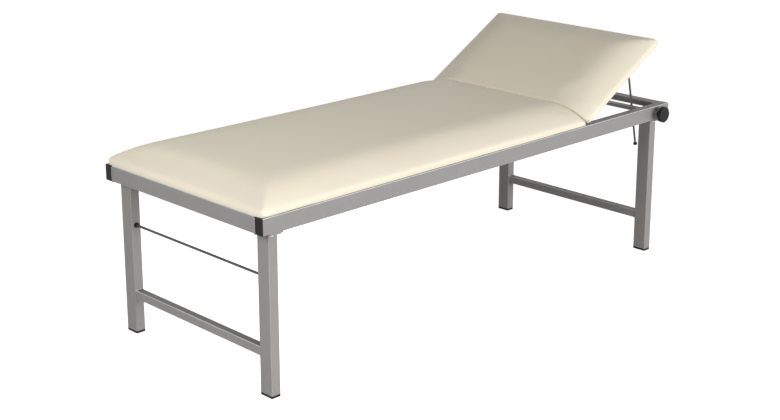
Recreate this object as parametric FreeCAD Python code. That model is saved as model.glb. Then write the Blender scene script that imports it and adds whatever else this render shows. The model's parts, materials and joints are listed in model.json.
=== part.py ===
import FreeCAD
import Part
import math
import os

# Examination couch with a raised head section on a welded tube frame.
# Frame of reference, in millimetres: the floor is Z = 0, +X runs from the foot end to the
# head end, +Y runs from the near side (the side with the knob) to the far side, and the
# origin is on the floor below the middle of the frame.

# Driving dimensions of the frame
couch_length = 2000.0
couch_width = 800.0
frame_height = 585.0
rail_width = 36.0
rail_depth = 54.0
rail_wall = 2.0
tube_corner = 3.5
head_rail_depth = 24.0
cross_rail_width = 30.0
cross_rail_depth = 30.0
foot_cross_rail_inset = 520.0
middle_cross_rail_inset = 1000.0
rail_cap_plate = 2.0
rail_cap_plug = 22.0
plug_clearance = 0.2

# Driving dimensions of the legs
leg_thickness = 35.0
leg_width = 54.0
leg_wall = 2.0
foot_leg_inset = 39.0
head_leg_inset = 45.0
leg_side_inset = 22.0
leg_plate_thickness = 5.0
leg_plate_overhang = 8.0
leg_plate_inner_overhang = 4.0
leg_plate_outer_gap = 3.0
leg_bolt_diameter = 8.0
leg_bolt_head_width = 13.0
leg_bolt_head_height = 5.3
leg_bolt_spacing = 30.0
leg_nut_height = 6.5
bolt_hole_clearance = 0.2
foot_plug_flange = 8.0
foot_plug_depth = 24.0
stretcher_width = 28.0
stretcher_depth = 30.0
stretcher_wall = 2.0
stretcher_height = 123.0

# Driving dimensions of the paper roll rod
roll_rod_diameter = 8.0
roll_rod_height = 379.0
roll_rod_engagement = 7.0
roll_rod_travel = 12.0
roll_rod_clearance = 0.05
roll_bush_diameter = 13.0
roll_bush_flange_diameter = 18.0
roll_bush_flange = 3.0
roll_bush_end_wall = 3.0

# Driving dimensions of the boards and cushions
hinge_inset = 484.0
board_thickness = 14.0
board_side_inset = 12.0
board_end_inset = 12.0
board_screw_diameter = 5.0
board_screw_head_diameter = 10.0
board_screw_head_height = 3.0
board_screw_bite = 11.0
board_screw_side_inset = 150.0
cushion_height = 66.0
cushion_side_margin = 2.0
cushion_end_margin = 3.0
cushion_edge_height = 17.0
cushion_tuck = 3.0
cushion_draw_in = 4.0
cushion_roll_width = 170.0
cushion_roll_length = 220.0
cushion_end_lift = 8.0
cushion_roll_steps = 4
cushion_roll_power = 3
cushion_roll_bend = 0.40
cushion_roll_lift = 0.66
cushion_crown_share = 0.08
groove_gap = 7.0

# Driving dimensions of the head section hinges
head_angle = 30.0
head_angle_limit = 50.0
hinge_side_inset = 140.0
hinge_width = 80.0
hinge_knuckle_diameter = 10.0
hinge_pin_diameter = 5.0
hinge_leaf_thickness = 2.0
hinge_leaf_reach = 34.0
hinge_pin_clearance = 0.05
hinge_side_clearance = 0.4
hinge_screw_diameter = 4.0
hinge_screw_head_diameter = 7.0
hinge_screw_head_height = 2.0
hinge_screw_bite = 9.0
hinge_screw_spacing = 50.0

# Driving dimensions of the support rod and its clamp
shaft_inset = 75.0
shaft_drop = 28.0
shaft_diameter = 20.0
shaft_clearance = 0.05
shaft_near_reach = 6.0
shaft_far_reach = 4.0
shaft_bush_diameter = 26.0
shaft_bush_flange_diameter = 32.0
shaft_bush_flange = 2.0
shaft_collar_diameter = 32.0
shaft_collar_width = 9.0
shaft_collar_gap = 0.5
shaft_cap_diameter = 30.0
shaft_cap_reach = 17.0
shaft_cap_plug_diameter = 12.0
shaft_cap_plug_length = 15.0
shaft_cap_edge = 3.0
support_rod_diameter = 8.0
support_rod_side_inset = 114.0
support_rod_clearance = 0.3
rod_eye_diameter = 12.0
rod_pin_diameter = 6.0
rod_pin_drop = 10.0
rod_pin_clearance = 0.05
rod_pin_head = 2.0
rod_pin_head_diameter = 9.0
bracket_plate = 2.0
bracket_ear = 3.0
bracket_ear_diameter = 13.0
bracket_side_gap = 0.5
bracket_length = 64.0
bracket_screw_spacing = 46.0
end_stop_diameter = 15.0
end_stop_height = 9.0
end_stop_edge = 2.0
end_stop_clearance = 4.0
clamp_pad_length = 12.0
clamp_pad_gap = 0.3
spindle_diameter = 8.0
spindle_clearance = 0.05
knob_diameter = 60.0
knob_thickness = 15.0
knob_reach = 39.0
knob_hub_diameter = 18.0
knob_hub_gap = 2.5
knob_edge = 3.0
knob_flute_count = 8
knob_flute_phase = 0.5
knob_flute_radius = 26.0
knob_flute_depth = 1.2

# Places that follow from the driving dimensions
foot_end = -couch_length / 2
head_end = couch_length / 2
near_side = -couch_width / 2
far_side = couch_width / 2
rail_bottom = frame_height - rail_depth
inner_near = near_side + rail_width
inner_width = couch_width - 2 * rail_width
hinge_x = head_end - hinge_inset
hinge_point = FreeCAD.Vector(hinge_x, 0, frame_height)
shaft_x = head_end - shaft_inset
shaft_z = frame_height - shaft_drop
leg_top = rail_bottom - leg_plate_thickness
rod_y = near_side + support_rod_side_inset

X_AXIS = FreeCAD.Vector(1, 0, 0)
Y_AXIS = FreeCAD.Vector(0, 1, 0)
Z_AXIS = FreeCAD.Vector(0, 0, 1)
hexagon_sides = 6
HEAD_AXIS = FreeCAD.Vector(0, -1, 0)

os.makedirs("parts", exist_ok=True)


def save(name, solids):
    """Write one node, a single solid or a group of separate solids."""
    shape = Part.makeCompound(solids) if len(solids) > 1 else solids[0]
    shape.exportStep("parts/" + name + ".step")


def box(x, y, z, length, width, height):
    """Plain block from its lowest corner."""
    return Part.makeBox(length, width, height, FreeCAD.Vector(x, y, z))


def rounded_bar(corner, size, axis, radius):
    """Block whose edges along one axis are rounded."""
    bar = box(*corner, *size)
    along = []
    for edge in bar.Edges:
        if round(abs(edge.tangentAt(edge.FirstParameter).dot(axis))):
            along.append(edge)
    return bar.makeFillet(radius, along)


def hollow_bar(corner, size, axis, wall, radius):
    """Rectangular tube with rounded corners, open at both ends."""
    sides = [0 if abs(axis[i]) > 0 else wall for i in range(len(size))]
    inner_corner = [corner[i] + sides[i] for i in range(len(size))]
    inner_size = [size[i] - 2 * sides[i] for i in range(len(size))]
    inner_radius = max(radius - wall, wall / 2)
    outer = rounded_bar(corner, size, axis, radius)
    return outer.cut(rounded_bar(inner_corner, inner_size, axis, inner_radius))


def round_bar(start, axis, length, diameter):
    """Solid cylinder from a point along an axis."""
    return Part.makeCylinder(diameter / 2, length, start, axis)


def ring(start, axis, length, outer_diameter, inner_diameter):
    """Plain sleeve."""
    return round_bar(start, axis, length, outer_diameter).cut(
        round_bar(start, axis, length, inner_diameter))


def hexagon(start, axis, height, across_flats):
    """Hexagonal block standing on a point along an axis."""
    step = 2 * math.pi / hexagon_sides
    radius = across_flats / 2 / math.cos(step / 2)
    corners = [FreeCAD.Vector(radius * math.cos(i * step), radius * math.sin(i * step), 0)
               for i in range(hexagon_sides)]
    face = Part.Face(Part.makePolygon(corners + corners[:1]))
    block = face.extrude(FreeCAD.Vector(0, 0, height))
    block.Placement = FreeCAD.Placement(start, FreeCAD.Rotation(Z_AXIS, axis))
    return block


def screw(start, axis, shank_length, shank_diameter, head_diameter, head_height):
    """Pan screw: the head is behind the start point and the shank runs along the axis."""
    head = round_bar(start - axis * head_height, axis, head_height, head_diameter)
    return head.fuse(round_bar(start, axis, shank_length, shank_diameter)).removeSplitter()


def raised(shape):
    """A head section piece, drawn flat, turned up to the angle at which it rests."""
    turned = shape.copy()
    turned.rotate(hinge_point, HEAD_AXIS, head_angle)
    return turned


# Side rails, cross rails and rail end caps
shaft_near = FreeCAD.Vector(shaft_x, near_side, shaft_z)
shaft_hole = round_bar(shaft_near, Y_AXIS, couch_width, shaft_bush_diameter)
leg_centres = {"foot": foot_end + foot_leg_inset + leg_thickness / 2,
               "head": head_end - head_leg_inset - leg_thickness / 2}
bolt_side_inset = (leg_side_inset + leg_plate_outer_gap) / 2
bolt_places = {}
for end, leg_centre in leg_centres.items():
    for side, sign in (("near", -1), ("far", 1)):
        bolt_places[end, side] = [
            FreeCAD.Vector(leg_centre + shift * leg_bolt_spacing / 2,
                           sign * (couch_width / 2 - bolt_side_inset), leg_top)
            for shift in (-1, 1)]
bolt_length = leg_plate_thickness + rail_wall + leg_nut_height
bolt_hole_diameter = leg_bolt_diameter + 2 * bolt_hole_clearance

rail_length = couch_length - 2 * rail_cap_plate
rail_start = foot_end + rail_cap_plate
rail_end = head_end - rail_cap_plate
for side, rail_y in (("near", near_side), ("far", far_side - rail_width)):
    rail = hollow_bar((rail_start, rail_y, rail_bottom), (rail_length, rail_width, rail_depth),
                      X_AXIS, rail_wall, tube_corner)
    rail = rail.cut(shaft_hole)
    for end in leg_centres:
        for place in bolt_places[end, side]:
            rail = rail.cut(round_bar(place, Z_AXIS, bolt_length, bolt_hole_diameter))
    save("side_rail_" + side, [rail])
    for end, cap_x, plug_x in (("foot", foot_end, rail_start),
                               ("head", rail_end, rail_end - rail_cap_plug)):
        inset = rail_wall + plug_clearance
        cap = rounded_bar((cap_x, rail_y, rail_bottom), (rail_cap_plate, rail_width, rail_depth),
                          X_AXIS, tube_corner)
        plug = rounded_bar((plug_x, rail_y + inset, rail_bottom + inset),
                           (rail_cap_plug, rail_width - 2 * inset, rail_depth - 2 * inset),
                           X_AXIS, tube_corner)
        save("rail_cap_" + end + "_" + side, [cap.fuse(plug).removeSplitter()])

foot_rail = hollow_bar((foot_end, inner_near, rail_bottom), (rail_width, inner_width, rail_depth),
                       Y_AXIS, rail_wall, tube_corner)
save("foot_rail", [foot_rail])
head_rail = hollow_bar((head_end - rail_width, inner_near, frame_height - head_rail_depth),
                       (rail_width, inner_width, head_rail_depth), Y_AXIS, rail_wall, tube_corner)
save("head_rail", [head_rail])

cross_rail_bottom = frame_height - cross_rail_depth
hinge_rail_face = hinge_x - hinge_knuckle_diameter / 2
cross_rails = {"cross_rail_foot": foot_end + foot_cross_rail_inset - cross_rail_width / 2,
               "cross_rail_middle": foot_end + middle_cross_rail_inset - cross_rail_width / 2,
               "hinge_rail": hinge_rail_face - cross_rail_width}
board_screw_sides = [-(couch_width / 2 - board_screw_side_inset), couch_width / 2 - board_screw_side_inset]
board_screw_shank = cross_rail_depth + board_screw_bite
board_screw_hole_diameter = board_screw_diameter + 2 * bolt_hole_clearance
board_screws = []
for name, cross_x in cross_rails.items():
    rail = hollow_bar((cross_x, inner_near, cross_rail_bottom),
                      (cross_rail_width, inner_width, cross_rail_depth), Y_AXIS, rail_wall, tube_corner)
    for screw_y in board_screw_sides:
        start = FreeCAD.Vector(cross_x + cross_rail_width / 2, screw_y, cross_rail_bottom)
        rail = rail.cut(round_bar(start, Z_AXIS, cross_rail_depth, board_screw_hole_diameter))
        board_screws.append(screw(start, Z_AXIS, board_screw_shank, board_screw_diameter,
                                  board_screw_head_diameter, board_screw_head_height))
    cross_rails[name] = rail

# Legs with their plates, bolts, floor plugs and stretchers
leg_bolts = []
leg_nuts = []
roll_x = leg_centres["foot"]
roll_socket_depth = roll_rod_engagement + roll_rod_travel + roll_bush_end_wall
for end, leg_centre in leg_centres.items():
    leg_x = leg_centre - leg_thickness / 2
    for side, sign in (("near", -1), ("far", 1)):
        outer_face = sign * (couch_width / 2 - leg_side_inset)
        inner_face = outer_face - sign * leg_width
        leg_y = min(outer_face, inner_face)
        leg = hollow_bar((leg_x, leg_y, foot_plug_flange),
                         (leg_thickness, leg_width, leg_top - foot_plug_flange),
                         Z_AXIS, leg_wall, tube_corner)
        if end == "foot":
            socket = FreeCAD.Vector(roll_x, inner_face, roll_rod_height)
            leg = leg.cut(round_bar(socket, Y_AXIS * sign, roll_socket_depth, roll_bush_diameter))
        save("leg_" + end + "_" + side, [leg])

        plate_near = sign * (couch_width / 2 - leg_plate_outer_gap)
        plate_far = inner_face - sign * leg_plate_inner_overhang
        plate = rounded_bar((leg_x - leg_plate_overhang, min(plate_near, plate_far), leg_top),
                            (leg_thickness + 2 * leg_plate_overhang, abs(plate_near - plate_far),
                             leg_plate_thickness), Z_AXIS, tube_corner)
        for place in bolt_places[end, side]:
            plate = plate.cut(round_bar(place, Z_AXIS, leg_plate_thickness, bolt_hole_diameter))
            head_place = place - Z_AXIS * leg_bolt_head_height
            bolt = hexagon(head_place, Z_AXIS, leg_bolt_head_height, leg_bolt_head_width)
            bolt = bolt.fuse(round_bar(place, Z_AXIS, bolt_length, leg_bolt_diameter))
            leg_bolts.append(bolt.removeSplitter())
            nut_place = place + Z_AXIS * (leg_plate_thickness + rail_wall)
            nut = hexagon(nut_place, Z_AXIS, leg_nut_height, leg_bolt_head_width)
            leg_nuts.append(nut.cut(round_bar(nut_place, Z_AXIS, leg_nut_height, leg_bolt_diameter)))
        save("leg_plate_" + end + "_" + side, [plate])

        inset = leg_wall + plug_clearance
        flange = rounded_bar((leg_x, leg_y, 0), (leg_thickness, leg_width, foot_plug_flange),
                             Z_AXIS, tube_corner)
        insert = rounded_bar((leg_x + inset, leg_y + inset, foot_plug_flange),
                             (leg_thickness - 2 * inset, leg_width - 2 * inset, foot_plug_depth),
                             Z_AXIS, tube_corner)
        save("foot_plug_" + end + "_" + side, [flange.fuse(insert).removeSplitter()])
    stretcher_half = couch_width / 2 - leg_side_inset - leg_width
    stretcher = hollow_bar((leg_centre - stretcher_width / 2, -stretcher_half, stretcher_height),
                           (stretcher_width, 2 * stretcher_half, stretcher_depth),
                           Y_AXIS, stretcher_wall, tube_corner)
    save("stretcher_" + end, [stretcher])
save("leg_bolts", leg_bolts)
save("leg_nuts", leg_nuts)

# Paper roll rod between the foot legs, held in two plastic sockets
roll_bore_diameter = roll_rod_diameter + 2 * roll_rod_clearance
for side, sign in (("near", -1), ("far", 1)):
    face = FreeCAD.Vector(roll_x, sign * stretcher_half, roll_rod_height)
    outward = Y_AXIS * sign
    collar = round_bar(face - outward * roll_bush_flange, outward, roll_bush_flange,
                       roll_bush_flange_diameter)
    sleeve = round_bar(face, outward, roll_socket_depth, roll_bush_diameter)
    bore = round_bar(face - outward * roll_bush_flange, outward,
                     roll_bush_flange + roll_socket_depth - roll_bush_end_wall, roll_bore_diameter)
    save("roll_bush_" + side, [collar.fuse(sleeve).removeSplitter().cut(bore)])
roll_start = FreeCAD.Vector(roll_x, -stretcher_half - roll_rod_engagement, roll_rod_height)
roll_length = 2 * (stretcher_half + roll_rod_engagement)
save("roll_rod", [round_bar(roll_start, Y_AXIS, roll_length, roll_rod_diameter)])


def cushion_section(x, base, half_width, edge, height):
    """Outline across the cushion at one place along it: a low bulged edge, a broad roll and a crown."""
    rise = height - edge
    roll_top = height - cushion_crown_share * rise
    bend_y = half_width - cushion_roll_bend * cushion_roll_width
    bend_z = edge + cushion_roll_lift * (roll_top - edge)
    points = [(half_width - cushion_tuck, 0),
              (half_width, edge / 2),
              (half_width - cushion_tuck, edge),
              (bend_y, bend_z),
              (half_width - cushion_roll_width, roll_top)]
    far = [FreeCAD.Vector(x, y, base + z) for y, z in points]
    near = [FreeCAD.Vector(x, -y, base + z) for y, z in points]
    edges = [Part.LineSegment(near[0], far[0]),
             Part.Arc(far[0], far[1], far[2]),
             Part.Arc(far[2], far[3], far[4]),
             Part.Arc(far[4], FreeCAD.Vector(x, 0, base + height), near[4]),
             Part.Arc(near[4], near[3], near[2]),
             Part.Arc(near[2], near[1], near[0])]
    return Part.Wire([piece.toShape() for piece in edges])


def cushion(end_x, hinge_end_x, base, edge, height):
    """Cushion with a soft roll at its free end, its sides drawn in between its corners."""
    toward_hinge = math.copysign(1, hinge_end_x - end_x)
    roll_end_x = end_x + toward_hinge * cushion_roll_length
    half_width = couch_width / 2 - cushion_side_margin
    roll = []
    for step in range(cushion_roll_steps + 1):
        share = step / cushion_roll_steps
        x = end_x + (roll_end_x - end_x) * share
        drop = (height - edge - cushion_end_lift) * (1 - share) ** cushion_roll_power
        roll.append(cushion_section(x, base, half_width - cushion_draw_in * share, edge, height - drop))
    body = [roll[-1],
            cushion_section((roll_end_x + hinge_end_x) / 2, base, half_width - cushion_draw_in, edge, height),
            cushion_section(hinge_end_x, base, half_width, edge, height)]
    return Part.makeLoft(roll, True, False).fuse(Part.makeLoft(body, True, True))


# Main board and cushion, fixed on the frame
groove_half_angle = head_angle_limit / 2
groove_reach = couch_width
groove_width = 2 * couch_width
main_cut = box(hinge_x - groove_gap, -groove_width / 2, frame_height - groove_reach,
               groove_reach, groove_width, 2 * groove_reach)
main_cut.rotate(hinge_point, Y_AXIS, -groove_half_angle)
board_width = couch_width - 2 * board_side_inset
main_board = box(foot_end + board_end_inset, -board_width / 2, frame_height,
                 hinge_x - groove_gap - foot_end - board_end_inset, board_width, board_thickness)
main_board = main_board.cut(main_cut)
main_cushion = cushion(foot_end + cushion_end_margin, hinge_x, frame_height,
                       cushion_edge_height, cushion_height)
save("main_cushion", [main_cushion.cut(main_cut).cut(main_board)])
for fastener in board_screws:
    main_board = main_board.cut(fastener)
save("main_board", [main_board])
save("board_screws", board_screws)

# Head board and cushion, drawn flat and then raised
head_cut = box(hinge_x + groove_gap - groove_reach, -groove_width / 2, frame_height - groove_reach,
               groove_reach, groove_width, 2 * groove_reach)
head_cut.rotate(hinge_point, Y_AXIS, groove_half_angle)
head_board = box(hinge_x, -board_width / 2, frame_height,
                 hinge_inset - board_end_inset, board_width, board_thickness).cut(head_cut)
head_cushion = cushion(head_end - cushion_end_margin, hinge_x, frame_height,
                       cushion_edge_height, cushion_height)
save("head_cushion", [raised(head_cushion.cut(head_cut).cut(head_board))])

# Hinges between the hinge rail and the head board
knuckle_third = hinge_width / 3
hinge_rail = cross_rails["hinge_rail"]
hinge_rail_screws = []
hinge_board_screws = []
leaf_middle = (hinge_leaf_reach + hinge_knuckle_diameter / 2) / 2
for side, hinge_y in (("near", near_side + hinge_side_inset), ("far", far_side - hinge_side_inset)):
    hinge_start = FreeCAD.Vector(hinge_x, hinge_y - hinge_width / 2, frame_height)
    barrel = round_bar(hinge_start, Y_AXIS, hinge_width, hinge_knuckle_diameter)
    middle_gap = box(hinge_x - hinge_leaf_reach, hinge_start.y + knuckle_third - hinge_side_clearance,
                     frame_height - hinge_knuckle_diameter, 2 * hinge_leaf_reach,
                     knuckle_third + 2 * hinge_side_clearance, 2 * hinge_knuckle_diameter)
    middle_keep = box(hinge_x - hinge_leaf_reach, hinge_start.y + knuckle_third,
                      frame_height - hinge_knuckle_diameter, 2 * hinge_leaf_reach,
                      knuckle_third, 2 * hinge_knuckle_diameter)
    pin_bore = round_bar(hinge_start, Y_AXIS, hinge_width, hinge_pin_diameter + 2 * hinge_pin_clearance)

    fixed_plate = box(hinge_rail_face, hinge_start.y, frame_height - hinge_leaf_reach,
                      hinge_leaf_thickness, hinge_width, hinge_leaf_reach)
    fixed_leaf = fixed_plate.fuse(barrel).removeSplitter().cut(middle_gap)
    fixed_leaf = fixed_leaf.cut(round_bar(hinge_start, Y_AXIS, hinge_width, hinge_pin_diameter))

    moving_plate = box(hinge_x + hinge_knuckle_diameter / 2 + hinge_side_clearance, hinge_start.y,
                       frame_height - hinge_leaf_thickness, hinge_leaf_reach - hinge_knuckle_diameter / 2,
                       hinge_width, hinge_leaf_thickness)
    moving_tab = box(hinge_x, hinge_start.y + knuckle_third, frame_height - hinge_leaf_thickness,
                     hinge_leaf_reach, knuckle_third, hinge_leaf_thickness)
    moving_leaf = barrel.common(middle_keep).fuse([moving_plate, moving_tab]).removeSplitter().cut(pin_bore)

    for shift in (-1, 1):
        screw_y = hinge_y + shift * hinge_screw_spacing / 2
        rail_place = FreeCAD.Vector(hinge_rail_face + hinge_leaf_thickness, screw_y,
                                    frame_height - leaf_middle)
        hinge_rail_screws.append(screw(rail_place, X_AXIS * -1, hinge_screw_bite, hinge_screw_diameter,
                                       hinge_screw_head_diameter, hinge_screw_head_height))
        board_place = FreeCAD.Vector(hinge_x + leaf_middle, screw_y, frame_height - hinge_leaf_thickness)
        hinge_board_screws.append(screw(board_place, Z_AXIS, hinge_screw_bite, hinge_screw_diameter,
                                        hinge_screw_head_diameter, hinge_screw_head_height))
    for fastener in hinge_rail_screws:
        fixed_leaf = fixed_leaf.cut(fastener)
        hinge_rail = hinge_rail.cut(fastener)
    for fastener in hinge_board_screws:
        moving_leaf = moving_leaf.cut(fastener)
        head_board = head_board.cut(fastener)
    save("hinge_fixed_leaf_" + side, [fixed_leaf])
    save("hinge_moving_leaf_" + side, [raised(moving_leaf)])
    save("hinge_pin_" + side, [round_bar(hinge_start, Y_AXIS, hinge_width, hinge_pin_diameter)])
save("hinge_rail_screws", hinge_rail_screws)
save("hinge_board_screws", [raised(fastener) for fastener in hinge_board_screws])
cross_rails["hinge_rail"] = hinge_rail
for name, rail in cross_rails.items():
    save(name, [rail])

# Support rod bracket under the head board. Its pin is as far from the hinge as the clamp
# shaft is, so the rod and the shaft turn by exactly half of the head section's turn.
clamp_reach = math.hypot(shaft_x - hinge_x, shaft_drop)
pin_reach = math.sqrt(clamp_reach ** 2 - rod_pin_drop ** 2)
pin_x = hinge_x + pin_reach
pin_z = frame_height - rod_pin_drop
eye_width = support_rod_diameter
ear_inner = eye_width / 2 + bracket_side_gap
ear_outer = ear_inner + bracket_ear
bracket = rounded_bar((pin_x - bracket_length / 2, rod_y - ear_outer, frame_height - bracket_plate),
                      (bracket_length, 2 * ear_outer, bracket_plate), Z_AXIS, bracket_ear)
for ear_y in (rod_y - ear_outer, rod_y + ear_inner):
    ear_top = box(pin_x - bracket_ear_diameter / 2, ear_y, pin_z,
                  bracket_ear_diameter, bracket_ear, rod_pin_drop)
    ear_eye = round_bar(FreeCAD.Vector(pin_x, ear_y, pin_z), Y_AXIS, bracket_ear, bracket_ear_diameter)
    bracket = bracket.fuse([ear_top, ear_eye])
pin_start = FreeCAD.Vector(pin_x, rod_y - ear_outer, pin_z)
bracket = bracket.removeSplitter().cut(round_bar(pin_start, Y_AXIS, 2 * ear_outer, rod_pin_diameter))
bracket_screws = []
for shift in (-1, 1):
    place = FreeCAD.Vector(pin_x + shift * bracket_screw_spacing / 2, rod_y, frame_height - bracket_plate)
    fastener = screw(place, Z_AXIS, hinge_screw_bite, hinge_screw_diameter,
                     hinge_screw_head_diameter, hinge_screw_head_height)
    bracket = bracket.cut(fastener)
    head_board = head_board.cut(fastener)
    bracket_screws.append(fastener)
rod_pin = round_bar(pin_start, Y_AXIS, 2 * ear_outer, rod_pin_diameter)
for head_y in (rod_y - ear_outer - rod_pin_head, rod_y + ear_outer):
    rod_pin = rod_pin.fuse(round_bar(FreeCAD.Vector(pin_x, head_y, pin_z), Y_AXIS,
                                     rod_pin_head, rod_pin_head_diameter))
save("rod_bracket", [raised(bracket)])
save("rod_bracket_screws", [raised(fastener) for fastener in bracket_screws])
save("rod_pin", [raised(rod_pin.removeSplitter())])
save("head_board", [raised(head_board)])

# Support rod, from its eye on the bracket pin down through the clamp shaft
pin_flat = FreeCAD.Vector(pin_reach, 0, -rod_pin_drop)
rod_hinge_point = FreeCAD.Vector(hinge_x, rod_y, frame_height)
pin_rest = rod_hinge_point + FreeCAD.Rotation(HEAD_AXIS, head_angle).multVec(pin_flat)
pin_steepest = rod_hinge_point + FreeCAD.Rotation(HEAD_AXIS, head_angle_limit).multVec(pin_flat)
clamp_point = FreeCAD.Vector(shaft_x, rod_y, shaft_z)
longest_span = (clamp_point - pin_steepest).Length
support_rod_length = longest_span + shaft_diameter / 2 + end_stop_clearance + end_stop_height
rod_direction = FreeCAD.Vector(clamp_point - pin_rest).normalize()
rod_tip = pin_rest + rod_direction * support_rod_length
eye_start = pin_rest - Y_AXIS * (eye_width / 2)
rod = round_bar(pin_rest, rod_direction, support_rod_length, support_rod_diameter)
rod = rod.fuse(round_bar(eye_start, Y_AXIS, eye_width, rod_eye_diameter)).removeSplitter()
rod = rod.cut(round_bar(eye_start, Y_AXIS, eye_width, rod_pin_diameter + 2 * rod_pin_clearance))
stop_start = rod_tip - rod_direction * end_stop_height
end_stop = round_bar(stop_start, rod_direction, end_stop_height, end_stop_diameter)
end_stop = end_stop.makeFillet(end_stop_edge, end_stop.Edges)
end_stop = end_stop.cut(rod)
save("support_rod", [rod])
save("rod_end_stop", [end_stop])

# Clamp shaft in its rail bushes, with its collars and far end cap
shaft_bore_diameter = shaft_diameter + 2 * shaft_clearance
for side, sign in (("near", -1), ("far", 1)):
    outer = FreeCAD.Vector(shaft_x, sign * couch_width / 2, shaft_z)
    inward = Y_AXIS * -sign
    sleeve = round_bar(outer, inward, rail_width, shaft_bush_diameter)
    lips = [round_bar(start, inward, shaft_bush_flange, shaft_bush_flange_diameter)
            for start in (outer - inward * shaft_bush_flange, outer + inward * rail_width)]
    passage = round_bar(outer - inward * shaft_bush_flange, inward,
                        rail_width + 2 * shaft_bush_flange, shaft_bore_diameter)
    save("shaft_bush_" + side, [sleeve.fuse(lips).removeSplitter().cut(passage)])
    collar_start = outer + inward * (rail_width + shaft_bush_flange + shaft_collar_gap)
    save("shaft_collar_" + side, [ring(collar_start, inward, shaft_collar_width,
                                       shaft_collar_diameter, shaft_diameter)])
shaft_start = FreeCAD.Vector(shaft_x, near_side - shaft_near_reach, shaft_z)
shaft_length = couch_width + shaft_near_reach + shaft_far_reach
shaft = round_bar(shaft_start, Y_AXIS, shaft_length, shaft_diameter)
rod_hole_start = clamp_point - rod_direction * shaft_diameter
shaft = shaft.cut(round_bar(rod_hole_start, rod_direction, 2 * shaft_diameter,
                            support_rod_diameter + 2 * support_rod_clearance))
spindle_bore = round_bar(shaft_start, Y_AXIS, rod_y - shaft_start.y, spindle_diameter + 2 * spindle_clearance)
cap_face = FreeCAD.Vector(shaft_x, far_side + shaft_far_reach, shaft_z)
cap_plug_start = cap_face - Y_AXIS * shaft_cap_plug_length
shaft_cap = round_bar(cap_face, Y_AXIS, shaft_cap_reach - shaft_far_reach, shaft_cap_diameter)
shaft_cap = shaft_cap.makeFillet(shaft_cap_edge, [shaft_cap.Edges[0]])
shaft_plug = round_bar(cap_plug_start, Y_AXIS, shaft_cap_plug_length, shaft_cap_plug_diameter)
save("shaft_cap", [shaft_cap.fuse(shaft_plug).removeSplitter()])
save("clamp_shaft", [shaft.cut(spindle_bore).cut(shaft_plug)])

# Clamp pad, spindle and knob in the near end of the shaft
pad_tip = rod_y - support_rod_diameter / 2 - clamp_pad_gap
pad_start = FreeCAD.Vector(shaft_x, pad_tip - clamp_pad_length, shaft_z)
save("clamp_pad", [round_bar(pad_start, Y_AXIS, clamp_pad_length, spindle_diameter)])
knob_front = near_side - knob_reach
knob_back = knob_front + knob_thickness
hub_back = shaft_start.y - knob_hub_gap
knob_start = FreeCAD.Vector(shaft_x, knob_front, shaft_z)
knob = round_bar(knob_start, Y_AXIS, knob_thickness, knob_diameter)
flute_distance = knob_diameter / 2 + knob_flute_radius - knob_flute_depth
for index in range(knob_flute_count):
    angle = 2 * math.pi * (index + knob_flute_phase) / knob_flute_count
    flute = knob_start + FreeCAD.Vector(flute_distance * math.cos(angle), 0, flute_distance * math.sin(angle))
    knob = knob.cut(round_bar(flute, Y_AXIS, knob_thickness, 2 * knob_flute_radius))
front_face = min(knob.Faces, key=lambda face: face.CenterOfMass.y)
knob = knob.makeFillet(knob_edge, front_face.Edges)
hub = round_bar(FreeCAD.Vector(shaft_x, knob_back, shaft_z), Y_AXIS, hub_back - knob_back, knob_hub_diameter)
spindle_start = FreeCAD.Vector(shaft_x, (knob_front + knob_back) / 2, shaft_z)
spindle = round_bar(spindle_start, Y_AXIS, pad_start.y - spindle_start.y, spindle_diameter)
save("clamp_spindle", [spindle])
save("knob", [knob.fuse(hub).removeSplitter().cut(spindle)])

# Joint places for the record
rod_tilt = math.degrees(math.atan2(-rod_direction.x, -rod_direction.z))
print("hinge axis", hinge_point.x, hinge_point.z, "clamp axis", shaft_x, shaft_z)
print("rod pin at rest", round(pin_rest.x, 4), rod_y, round(pin_rest.z, 4), "rod tilt", round(rod_tilt, 3))
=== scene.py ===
"""Looks of a padded examination couch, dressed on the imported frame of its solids."""

from __future__ import annotations

import enum
import json
import logging
import math
from dataclasses import dataclass, field
from typing import Any, Iterable, Sequence

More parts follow.
